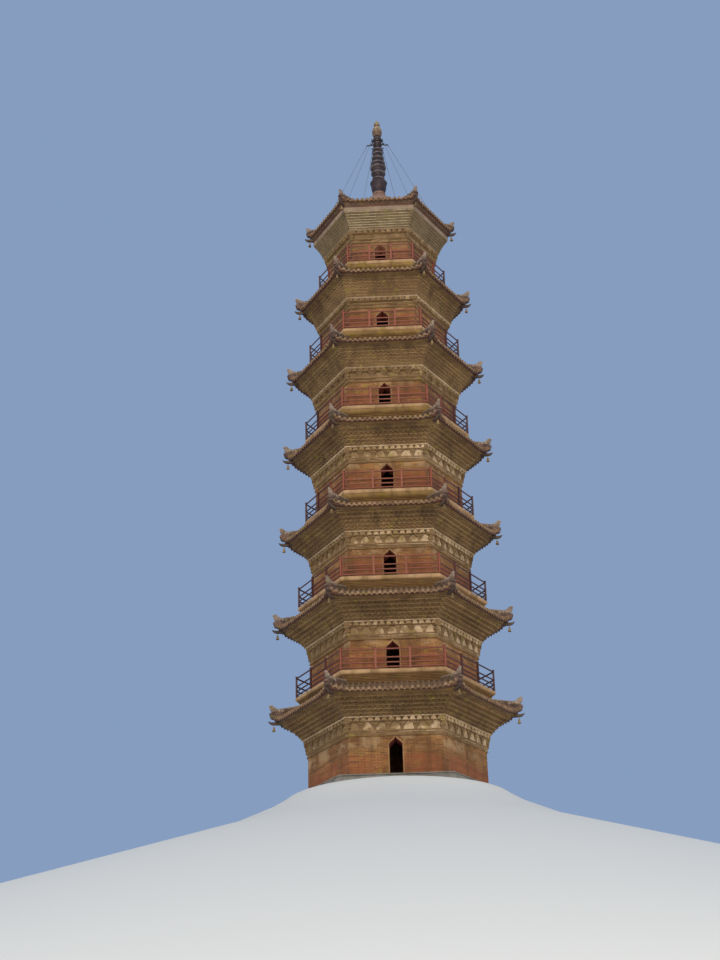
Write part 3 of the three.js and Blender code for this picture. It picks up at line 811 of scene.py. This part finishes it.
def brackets(storey):
    """A row of bracket sets on each side, wide and narrow by turns, and one at each corner."""
    wall, low, high = storey.wall, storey.bracket_foot - BRACKET_LEDGE, storey.cap_top
    half = (wall + 0.1) * TAN
    bays = round(2 * half / BRACKET_PITCH)
    pitch = 2 * half / bays
    relief = FLAT_RELIEF if storey.number >= FLAT_FROM else 1.0
    side = Shape()
    for n in range(1, bays):
        side.join(bracket(wall, storey.bracket_foot - 0.01, storey.bracket_top,
                          -half + pitch * n, 0.8 if n % 2 else 1.0, relief))
    corner = Shape()
    radius = wall * CORNER
    for half_width, reach, start, end in ((0.09, 0.10, 0, 0.24), (0.13, 0.13, 0.24, 0.42),
                                          (0.09, 0.15, 0.42, 0.58), (0.16, 0.19, 0.58, 0.76),
                                          (0.10, 0.21, 0.76, 1.0)):
        z = (low + (high - low) * start, low + (high - low) * end)
        corner.join(block((radius - 0.1, radius + reach), (-half_width, half_width), z))
    shape = joined([around(side), around(corner)])
    storey.piece("brackets", shape, WORN, "moulded_brick", bevel=0.008)


def bracket_caps(storey):
    """A row of small tapered caps between the brackets and the string course."""
    low, high, reach = storey.bracket_top, storey.cap_top + 0.01, STRING_REACH - 0.05
    half = (storey.wall + reach) * TAN
    count = round(2 * half / CAP_PITCH)
    cap = [(0.15, low + 0.005), (0.13, low + 0.05), (0.06, high)]
    caps = joined(prism(mirrored(cap, -half + 2 * half * (n + 0.5) / count),
                        -storey.wall - reach, -storey.wall) for n in range(count))
    storey.piece("bracket_caps", around(caps), storey.plaster, "plaster", bevel=0.008)


def string_course(storey):
    """A projecting course, thinner where the plaster is worn."""
    depth = 0.6 * STRING_DEPTH if storey.worn else STRING_DEPTH
    outline = [(-STRING_REACH, -STRING_DEPTH), (-0.04, -STRING_DEPTH), (0, -depth),
               (0.015, 0.008 - depth), (0.015, -0.008), (0, 0), (-STRING_REACH, 0)]
    shape = band(moved(outline, storey.wall + STRING_REACH, storey.string))
    storey.piece("string_course", shape, DULL if storey.top_one else PALE, "plaster")


def flare(storey):
    """Corbelled brick: dogtooth courses, each with a plain course over it."""
    inner, bottom, top = storey.wall - 0.05, storey.string, storey.flare_top
    shape, plain = Shape(), Shape()
    pairs = round((top - bottom) / FLARE_PAIR)
    pair = (top - bottom) / pairs
    for n in range(pairs):
        low = bottom + n * pair
        middle, high = low + pair / 2, low + pair
        back, front = storey.face(low) + 0.02, storey.face(high)
        shape.join(square_band(inner - 0.05, back, low - 0.02, middle + 0.01))
        plain.join(band([(inner, middle), (front - 0.01, middle), (front, middle + 0.01),
                         (front, high - 0.01), (front - 0.01, high), (inner, high)]))
        half = (back + 0.02) * TAN
        count = round(2 * half / TOOTH_PITCH)
        pitch = 2 * half / count
        side = Shape()
        for i in range(count):
            plan = mirrored([(0.46 * pitch, -back + 0.02), (0.07 * pitch, -front + 0.005)],
                            -half + (i + 0.5) * pitch)
            side.join(loft([[(*spot, z) for spot in plan] for z in (low + 0.006, middle + 0.005)]))
        shape.join(around(side))
    storey.piece("corbel_flare", shape, FLARE, "moulded_brick", f"cornice_{storey.number}")
    storey.piece("flare_courses", plain, COURSE, "moulded_brick")


def top_flare(storey):
    """The top storey's flare: sloping plastered courses, each with a thin pale ledge, and a
    fascia over them."""
    inner, bottom, top = storey.wall - 0.05, storey.string, storey.flare_top
    courses, ledges = Shape(), Shape()
    height = (top - bottom) / LEDGES
    lip = [(-0.06, 0), (-0.004, 0), (0, 0.004), (0, 0.026), (-0.004, 0.03), (-0.06, 0.03)]
    for n in range(LEDGES):
        low = bottom + n * height
        back, front = storey.face(low) + 0.01, storey.face(low + height) - 0.004
        courses.join(band([(inner, low), (back, low), (front, low + height),
                           (inner, low + height)]))
        edge = back + 0.6 * (front - back) + 0.02
        ledges.join(band(moved(lip, edge, low + 0.6 * height)))
    storey.piece("corbel_flare", courses, TOP_BRICK, "moulded_brick", f"cornice_{storey.number}")
    piece("pale_ledges", ledges, LEDGE, "plaster")
    lower = moved([(-0.15, -0.005), (-0.01, -0.005), (0, 0.01)], storey.tip, top)
    upper = moved([(0, -0.01), (-0.02, 0), (-0.15, 0)], storey.tip, storey.cornice_top)
    piece("top_fascia", band(lower + upper), FASCIA, "plaster")


# Eaves

def soffit(storey):
    """The last corbel courses out to the edge, and the board under the tile ends."""
    tip, base, edge = storey.tip, storey.cornice_top, storey.edge
    lift, rise = storey.lift, storey.rise
    end = edge - SOFFIT_INSET
    first, second = tip + 0.3 * (end - tip), tip + 0.65 * (end - tip)
    steps = [
        (tip - 0.15, base - 0.01), (first, base - 0.01, 0.05 * rise),
        (first, base + 0.3 * lift, 0.3 * rise), (second, base + 0.3 * lift, 0.4 * rise),
        (second, base + 0.6 * lift, 0.7 * rise), (end, base + 0.6 * lift, 0.8 * rise),
        (end, base + lift, rise), (tip - 0.15, base + lift + 0.03),
    ]
    storey.piece("eave_soffit", band(steps), BOARDS if storey.top_one else FLARE,
                 "moulded_brick")
    board = [(-0.17, 0, 0.5 * rise), (-0.06, 0, 0.5 * rise), (-0.03, 0.02, 0.65 * rise),
             (-0.015, 0.09, rise), (-0.17, 0.09, rise)]
    storey.piece("edge_board", band(moved(board, edge, base + lift)), BOARDS, "red_wood")


def roof_bed(storey):
    """The mortar bed under the tiles. Over the top storey it closes at the spire."""
    top = []
    steps = 6
    for n in range(steps + 1):
        part = n / steps
        apothem = storey.edge - 0.04 + (storey.foot - storey.edge + 0.04) * part
        top.append((apothem, storey.level(apothem) - BED_DEPTH, storey.rise * (1 - part)))
    inner, base = storey.wall - 0.1, storey.cornice_top
    if storey.top_one:
        close = [(0, storey.foot_level - 0.12), (0, storey.foot_level - 0.7)]
        close += [(apothem, storey.level(apothem) - 0.45) for apothem in (1.0, 1.8)]
    else:
        level = storey.foot_level - FOOT_LIFT
        close = [(storey.foot, level), (inner, level)]
    return band([(inner, base + 0.01), (storey.tip, base + 0.01),
                 (storey.edge - 0.06, base + storey.lift + 0.03, storey.rise), *top, *close])


def tile_row(storey, x, start, top, sections):
    """A row of tiles from near the edge up to an apothem, in steps. The sections are a tile's
    outlines at its lower and its upper end."""
    count = max(1, round((start - top) / TILE_LENGTH))
    rings = []
    for n in range(count):
        for part, section in zip((n, n + 1), sections):
            apothem = start + (top - start) * part / count
            level = storey.level(apothem, x)
            rings.append([(x + px, -apothem, level + pz) for px, pz in section])
    return loft(rings)


def tile_end(storey, x):
    """The round end of a cover tile: a rimmed disc with a boss."""
    face = -storey.edge - 0.02
    profile = ((0.078, 0.01), (0.078, -0.028), (0.060, -0.028), (0.054, -0.018), (0.028, -0.018),
               (0.020, -0.027))
    return stud(x, storey.level(storey.edge, x) - TILE_RADIUS,
                [(radius, face + y) for radius, y in profile])


def drip_tile(storey, x, width):
    """The pointed lip that hangs from a pan tile."""
    level = storey.level(storey.edge, x)
    outline = mirrored([(0, -0.10), (0.25, -0.085), (0.46, -0.04), (0.42, -0.10), (0.24, -0.155),
                        (0, -0.225)])
    return prism([(x + width * px, level + pz) for px, pz in outline],
                 -storey.edge - 0.032, -storey.edge - 0.012)


def tiles(storey):
    """Rows of half-round cover tiles with hollow pan tiles between them, on the mortar bed."""
    half = storey.edge * TAN
    count = round(2 * half / TILE_PITCH)
    pitch = 2 * half / count
    covers = [[(radius * u, radius * v - TILE_RADIUS) for u, v in arc(5, sweep=math.pi)]
              for radius in (TILE_RADIUS + 0.005, TILE_RADIUS - 0.006)]
    pan = mirrored([(0, -0.10), (0.25, -0.085), (0.5, -0.045), (0.5, -0.14)])
    pans = [[(pitch * px, pz + lift) for px, pz in pan] for lift in (0.012, -0.006)]
    rows, ends, lips = Shape(), Shape(), Shape()
    for n in range(count):
        x = (n + 0.5) * pitch - half
        top = max(storey.foot, abs(x) / TAN + 0.02)
        rows.join(tile_row(storey, x, storey.edge + 0.02, top, covers))
        ends.join(tile_end(storey, x))
    for n in range(1, count):
        x = n * pitch - half
        top = max(storey.foot, abs(x) / TAN)
        rows.join(tile_row(storey, x, storey.edge + 0.01, top, pans))
        lips.join(drip_tile(storey, x, pitch))
    storey.piece("roof_tiles", joined([roof_bed(storey), around(rows)]), TILE, "roof_tile",
                 storey.roof_node)
    storey.piece("tile_discs", around(ends), DISC, "roof_tile")
    storey.piece("drip_tiles", around(lips), DRIP, "roof_tile")


def hip_ridges(storey):
    """A brick ridge with a row of cap tiles over each hip, from the ornament to its foot."""
    start = storey.edge - RIDGE_START
    foot = TOP_RIDGE_FOOT if storey.top_one else storey.foot
    crown = [(0.105, -0.15), (0.125, -0.145), (0.125, -0.115), (0.085, -0.11), (0.085, -0.05)]
    steps = 8
    rings = []
    for n in range(steps + 1):
        apothem = start + (foot - start) * n / steps
        right = [(0.105, storey.hip(apothem) - 0.12), *moved(crown, 0, storey.crest(apothem))]
        rings.append([(apothem * CORNER, y, z) for y, z in mirrored(right)])
    storey.piece("hip_ridges", around(loft(rings)), LIP, "roof_tile")

    count = round((start - foot) * CORNER / RIDGE_CAP_LENGTH)
    first = start + RIDGE_CAP_START
    caps = Shape()
    for n in range(count):
        rings = []
        for step, radius in ((0, 0.09), (0.1, 0.12), (0.45, RIDGE_CAP_RADIUS), (0.85, 0.118),
                             (0.98, 0.09)):
            apothem = first + (foot - first) * (n + step) / count
            middle = storey.crest(apothem) - RIDGE_CAP_RADIUS
            rings.append([(apothem * CORNER, radius * u, middle + radius * v)
                          for u, v in arc(8, -0.6, math.pi + 1.2)])
        caps.join(loft(rings))
    storey.piece("ridge_caps", around(caps), CAP, "roof_tile")


def boss(x, z, radius, reach):
    """A low rounded knob on both cheeks of an ornament, standing out to a reach."""
    dome = ((1.0, 0.02), (0.92, 0.6), (0.6, 0.93), (0.2, 1.0))
    return joined(stud(x, z, [(radius * scale, side * (reach - 0.05 + 0.05 * depth))
                              for scale, depth in dome]) for side in (-1, 1))


def corner_ornaments(storey):
    """The fish at the end of each hip ridge: a dark open mouth and a pale upturned tail."""
    size = 0.84 if storey.top_one else 1.0
    mouth = [(-0.60, -0.12), (-0.60, 0.12), (-0.45, 0.18), (-0.1, 0.15), (0.02, 0.12), (0.10, 0.09),
             (0.17, 0.06), (0.20, 0.0), (0.185, -0.06), (0.11, -0.09), (0.16, -0.145),
             (0.135, -0.20), (0.05, -0.245), (-0.12, -0.285), (-0.35, -0.25)]
    tail = [(-0.52, 0.12), (-0.52, 0.20), (-0.43, 0.25), (-0.36, 0.225), (-0.27, 0.265),
            (-0.21, 0.245), (-0.13, 0.325), (-0.08, 0.335), (-0.01, 0.425), (0.06, 0.46),
            (0.13, 0.48), (0.195, 0.46), (0.225, 0.41), (0.21, 0.355), (0.165, 0.315),
            (0.175, 0.25), (0.13, 0.19), (0.06, 0.11), (-0.1, 0.07)]
    cheeks = ((0.02, 0.0, 0.055, 0.15), (-0.16, -0.10, 0.085, 0.145))
    scales = ((-0.46, 0.13, 0.07, 0.14), (-0.31, 0.15, 0.075, 0.155), (-0.14, 0.17, 0.085, 0.15),
              (0.04, 0.26, 0.075, 0.11), (0.12, 0.38, 0.06, 0.08))
    head = joined([pillow(mouth, lambda x, z: 0.125), *(boss(*knob) for knob in cheeks)])
    storey.piece("ornament_mouths", storey.at_corners(head, size), MOUTH, "roof_tile")
    fins = pillow(tail, lambda x, z: 0.10 - 0.065 * min(1, max(0, z - 0.12) / 0.25))
    fins = joined([fins, *(boss(*knob) for knob in scales)])
    storey.piece("ornament_tails", storey.at_corners(fins, size), RIDGE, "roof_tile")


def corner_beams(storey):
    """The beam under each corner, its leaf-shaped end turned up."""
    outline = [(-0.95, -0.56), (-0.10, -0.535), (0.05, -0.525), (0.15, -0.485), (0.225, -0.40),
               (0.255, -0.335), (0.215, -0.355), (0.14, -0.385), (0.02, -0.395), (-0.10, -0.39),
               (-0.95, -0.43)]
    shape = pillow(outline, lambda x, z: 0.065 - 0.03 * max(0, x - 0.1) / 0.16, 0.94)
    storey.piece("corner_beams", storey.at_corners(shape), BEAM, "moulded_brick")


def bells(storey):
    """A small bell with its clapper, hung from each corner beam."""
    x = storey.edge * CORNER - 0.03
    top = storey.hip(storey.edge) - 0.62
    skirt = [(0.0, 0), (0.03, -0.005), (0.042, -0.03), (0.05, -0.09), (0.062, -0.15),
             (0.085, -0.215), (0.085, -0.228), (0.074, -0.228), (0.052, -0.15), (0.04, -0.06),
             (0.0, -0.05)]
    clapper = [(0, -0.24), (0.02, -0.225), (0.02, -0.20), (0, -0.19)]
    hook = [(x, 0, top + up) for up in (0.12, 0.03, -0.01)]
    rod = [(x, 0, top + up) for up in (-0.06, -0.2)]
    shape = joined([lathe(moved(skirt, 0, top), 16, x), tube(hook, [0.011] * 3, 6),
                    tube(rod, [0.008] * 2, 6), lathe(moved(clapper, 0, top), 10, x)])
    storey.piece("bells", around(shape), BRONZE, "iron")


# Decks and railings

def deck(storey):
    """The slab, a bevelled course under it on the upper decks, and a corbel in fine courses."""
    edge, z = storey.deck, storey.floor
    under = z - DECK_EDGE
    nosing = [(-0.09, -0.23), (-0.04, -0.215), (-0.01, -0.18), (0, -0.13), (-0.005, -0.07),
              (-0.025, -0.03), (-0.06, -0.005), (-0.10, 0)]
    slab = band([(0, under), *moved(nosing, edge, z), (0, z)])
    storey.piece("deck_slab", slab, DECK, "plaster", f"deck_{storey.number}")

    bottom = z - DECK_DEPTH
    upper = under + 0.02
    bevelled = storey.number >= BEVELLED_FROM
    if bevelled:
        upper = z - BEVEL_FOOT
        bevel = band([(0, upper - 0.02), (edge - 0.22, upper - 0.02), (edge - 0.17, upper),
                      (edge - 0.07, under - 0.01), (edge - 0.05, under + 0.02),
                      (0, under + 0.02)])
        storey.piece("deck_bevel", bevel, YELLOW, "plaster")
    reach = 0.24 if bevelled else 0.10
    steps = round((upper - bottom) / CORBEL_COURSE)
    height = (upper - bottom) / steps
    profile = [(0, bottom)]
    for n in range(steps):
        out = edge - DECK_CORBEL + (DECK_CORBEL - reach) * (n + 1) / steps
        profile += moved([(-0.008, 0), (0, 0.008), (0, height - 0.006)], out, bottom + n * height)
    profile.append((0, upper))
    storey.piece("deck_corbel", band(profile), DARK_BRICK, "moulded_brick")


def post(x, y, floor):
    """A square post with a chamfered cap."""
    half = POST_WIDTH / 2
    rings = []
    for grow, level in ((0, 0), (0, 1.0), (0.008, 1.005), (0.008, 1.03), (-0.012, 1.05)):
        size = half + grow
        rings.append([(x + size * px, y + size * py, floor + level)
                      for px, py in ((-1, -1), (1, -1), (1, 1), (-1, 1))])
    return loft(rings)


def railing(storey):
    """Four posts to a side, the corner ones shared, with four rails between them."""
    line, floor = storey.deck - RAILING_INSET, storey.floor
    side = joined(post(line * TAN * share, -line, floor) for share in (-1 / 3, 1 / 3))
    posts = joined([around(side), around(post(line * CORNER, 0, floor))])
    storey.piece("railing_posts", posts, RED_WOOD, "red_wood", f"railing_{storey.number}",
                 bevel=0.006)
    half = RAIL_DEPTH / 2
    rails = Shape()
    for top in RAIL_TOPS:
        high, low = floor + top, floor + top - RAIL_HEIGHT
        outer = [(0.3 * half, low), (half, low + 0.45 * RAIL_HEIGHT), (half, high - RAIL_CHAMFER),
                 (half - RAIL_CHAMFER, high)]
        rails.join(band(mirrored(outer, line)))
    storey.piece("railing_rails", rails, RED_WOOD, "red_wood")


# Spire

def spire_foot():
    """The plastered cone and the moulded neck over it."""
    profile = [
        (0, -0.85), (0.86, -0.85), (0.80, -0.66), (0.70, -0.52), (0.56, -0.40), (0.42, -0.31),
        (0.325, -0.25), (0.31, -0.20), (0.345, -0.185), (0.355, -0.165), (0.345, -0.145),
        (0.30, -0.13), (0.30, -0.09), (0.35, -0.07), (0.36, -0.045), (0.36, -0.02), (0.345, 0),
        (0, 0),
    ]
    shape = lathe(moved(profile, 0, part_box("spire_base")[1].z))
    piece("spire_foot", shape, PINK, "plaster", "spire_base")


def spire_bowl():
    low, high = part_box("spire_bowl")
    side = moved([(0, 0), (0.33, 0), (0.345, 0.03), (0.375, 0.16), (0.405, 0.28), (0.425, 0.40),
                  (0.435, 0.52), (0.435, 0.60), (0.455, 0.65)], 0, low.z)
    rim = moved([(-0.01, 0.685), (-0.003, 0.715), (-0.015, 0.745)], high.x, low.z)
    lid = moved([(0.44, 0.77), (0.41, 0.80), (0.39, 0.84), (0.32, 0.90), (0, 0.90)], 0, low.z)
    piece("spire_drum", lathe(side + rim + lid), IRON, "iron", "spire_bowl")


def spire_rings():
    """Seven rings on the mast, each with a brighter rim."""
    low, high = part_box("spire_rings")
    wheel = [(0.80, -0.072), (0.97, -0.045), (0.99, 0.03), (0.92, 0.07), (0.86, 0.12),
             (0.80, 0.15)]
    first, last = SPIRE_RINGS[0][1], SPIRE_RINGS[-1][1]
    outline = [(0, low.z), (first * 0.8, low.z)]
    rims = Shape()
    for height, radius in SPIRE_RINGS:
        level = low.z + height
        outline += [(radius * share, level + up) for share, up in wheel]
        rim = [(radius * 0.82, -0.074), (radius * 0.96, -0.062), (radius - 0.002, -0.046),
               (radius - 0.002, -0.022), (radius * 0.97, -0.012), (radius * 0.9, -0.03)]
        rims.join(lathe(moved(rim, 0, level)))
    outline += [(last * 0.8, high.z), (0, high.z)]
    piece("spire_wheels", lathe(outline), IRON, "iron", "spire_rings")
    piece("spire_wheel_rims", rims, RIM, "iron")


def crown():
    """Collars on the mast, with six leaf arms that end in hooks. Each part of an arm is a path
    of (out, up, radius)."""
    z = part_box("spire_crown")[0].z
    collars = lathe(moved([
        (0, 0), (0.20, 0), (0.20, 0.13), (0.235, 0.20), (0.24, 0.23), (0.24, 0.26), (0.19, 0.29),
        (0.185, 0.37), (0.235, 0.41), (0.235, 0.45), (0.19, 0.48), (0.19, 0.53), (0.235, 0.57),
        (0.235, 0.61), (0.17, 0.70), (0, 0.70),
    ], 0, z))
    rim = [(0.20, -0.034), (0.238, -0.030), (0.244, -0.012), (0.244, 0.014), (0.20, 0.020)]
    rims = joined(lathe(moved(rim, 0, z + level)) for level in (0.245, 0.43, 0.59))
    piece("crown_rims", rims, RIM, "iron")
    hook = [(0.18, 0.06, 0.035), (0.25, 0.17, 0.042), (0.31, 0.22, 0.040), (0.37, 0.17, 0.036),
            (0.45, 0.16, 0.040), (0.55, 0.17, 0.038), (0.615, 0.18, 0.020)]
    upper = [(0.20, 0.44, 0.030), (0.27, 0.40, 0.036), (0.30, 0.46, 0.032), (0.27, 0.53, 0.026),
             (0.31, 0.57, 0.010)]
    leaf = [(0.27, 0.40, 0.030), (0.30, 0.30, 0.034), (0.37, 0.25, 0.026), (0.43, 0.27, 0.010)]
    lower = [(0.20, -0.01, 0.030), (0.27, -0.08, 0.032), (0.34, -0.06, 0.026),
             (0.36, -0.13, 0.010)]
    arm = joined(tube([(out, 0, z + up) for out, up, _ in path], [radius for *_, radius in path])
                 for path in (hook, upper, leaf, lower))
    piece("crown_arms", joined([collars, around(arm)]), IRON, "iron", "spire_crown")


def finial():
    """The gilt double gourd, with iron rings round its foot and its waist."""
    low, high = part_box("finial")
    gourd = [
        (0, 0), (0.15, 0), (0.19, 0.02), (0.19, 0.05), (0.22, 0.09), (0.255, 0.17), (0.278, 0.28),
        (0.283, 0.38), (0.272, 0.49), (0.245, 0.59), (0.205, 0.68), (0.165, 0.75),
        (0.135, 0.785), (0.135, 0.805), (0.165, 0.835), (0.178, 0.88), (0.170, 0.94),
        (0.145, 1.01), (0.11, 1.08), (0.07, 1.14), (0.035, 1.18),
    ]
    shape = lathe([*moved(gourd, 0, low.z), (0.012, high.z - 0.01), (0, high.z)])
    piece("gourd_finial", shape, GILT, "gilt", "finial")
    waist = [(0.12, 0.755), (0.152, 0.765), (0.158, 0.79), (0.158, 0.81), (0.152, 0.83),
             (0.12, 0.84)]
    foot = [(0.13, 0.004), (0.198, 0.012), (0.205, 0.03), (0.198, 0.055), (0.13, 0.06)]
    rings = joined(lathe(moved(ring, 0, low.z)) for ring in (waist, foot))
    piece("gourd_rings", rings, IRON, "iron")


def stays():
    """The stays keep their solids; an eye at each end ties them to hook and ridge."""
    low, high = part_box("stay_1")
    top = Vector((low.x, 0, high.z))
    foot = Vector((high.x, 0, low.z))
    along = (foot - top).normalized()
    eyes = Shape()
    for end, way in ((top, -1), (foot, 1)):
        path = [end + along * way * distance for distance in (-0.02, 0.08, 0.19)]
        eyes.join(tube(path, [0.017, 0.02, 0.017]))
    piece("stay_eyes", around(eyes), IRON, "iron")
    for n in range(SIDES):
        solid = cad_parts[f"stay_{n + 1}"]
        solid.data.materials.clear()
        solid.data.materials.append(WIRE)


def tower():
    plinth()
    for number in range(1, STOREYS + 1):
        storey = Storey(number)
        parts = [walls, door_surrounds, door_linings, architrave, bracket_ground, brackets,
                 bracket_caps, string_course, top_flare if storey.top_one else flare, soffit,
                 tiles, hip_ridges, corner_ornaments, corner_beams, bells]
        if number > 1:
            parts += [deck, railing]
        for part in parts:
            part(storey)
    for part in (spire_foot, spire_bowl, spire_rings, crown, finial, stays):
        part()


# Studio

def stage_floor():
    """Level just around the plinth, then falling away to below the camera."""
    material = bpy.data.materials.new("studio_floor")
    material.use_nodes = True
    shader = material.node_tree.nodes["Principled BSDF"]
    shader.inputs["Base Color"].default_value = tone(FLOOR)
    shader.inputs["Roughness"].default_value = 0.9
    profile = [(0, 0), (5.3, 0), (5.36, -0.02), (5.6, -0.2), (6.5, -0.75), (9, -1.9), (30, -8.9),
               (45, -13.6), (55, -16.0), (65, -17.3), (80, -17.8), (260, -17.9)]
    rings = [[(radius * u, radius * v, level - 0.001) for u, v in arc(96)]
             for radius, level in profile]
    floor = add_mesh("stage_floor", loft(rings, ends=False).weld(), material, 180)


def lights():
    """Soft discs, aimed at the tower's axis."""
    for name, (position, aim, size, power, colour) in LIGHTS.items():
        light = bpy.data.lights.new(name, "AREA")
        light.shape = "DISK"
        light.size = size
        light.energy = power
        light.color = colour
        lamp = add_object(name, light)
        lamp.location = position
        way = Vector((0, 0, aim)) - Vector(position)
        lamp.rotation_euler = way.to_track_quat("-Z", "Y").to_euler()


def sky():
    scene = bpy.context.scene
    scene.world = bpy.data.worlds.new("studio")
    scene.world.use_nodes = True
    scene.world.node_tree.nodes["Background"].inputs["Color"].default_value = tone(SKY)
    scene.view_settings.view_transform = "Standard"


def view():
    """The camera, turned from looking straight down: rolled, pitched up, then panned."""
    camera = bpy.data.cameras.new("camera")
    camera.lens = CAMERA_LENS
    camera.sensor_width = 36
    camera.clip_end = 600
    seat = add_object("camera", camera)
    bpy.context.scene.camera = seat
    place = (CAMERA_DISTANCE * math.sin(CAMERA_BEARING),
             -CAMERA_DISTANCE * math.cos(CAMERA_BEARING), CAMERA_HEIGHT)
    seat.matrix_world = (Matrix.Translation(place) @ Matrix.Rotation(-CAMERA_PAN, 4, "Z")
                         @ Matrix.Rotation(math.pi / 2 + CAMERA_PITCH, 4, "X")
                         @ Matrix.Rotation(CAMERA_ROLL, 4, "Z"))


tower()
stage_floor()
lights()
sky()
view()
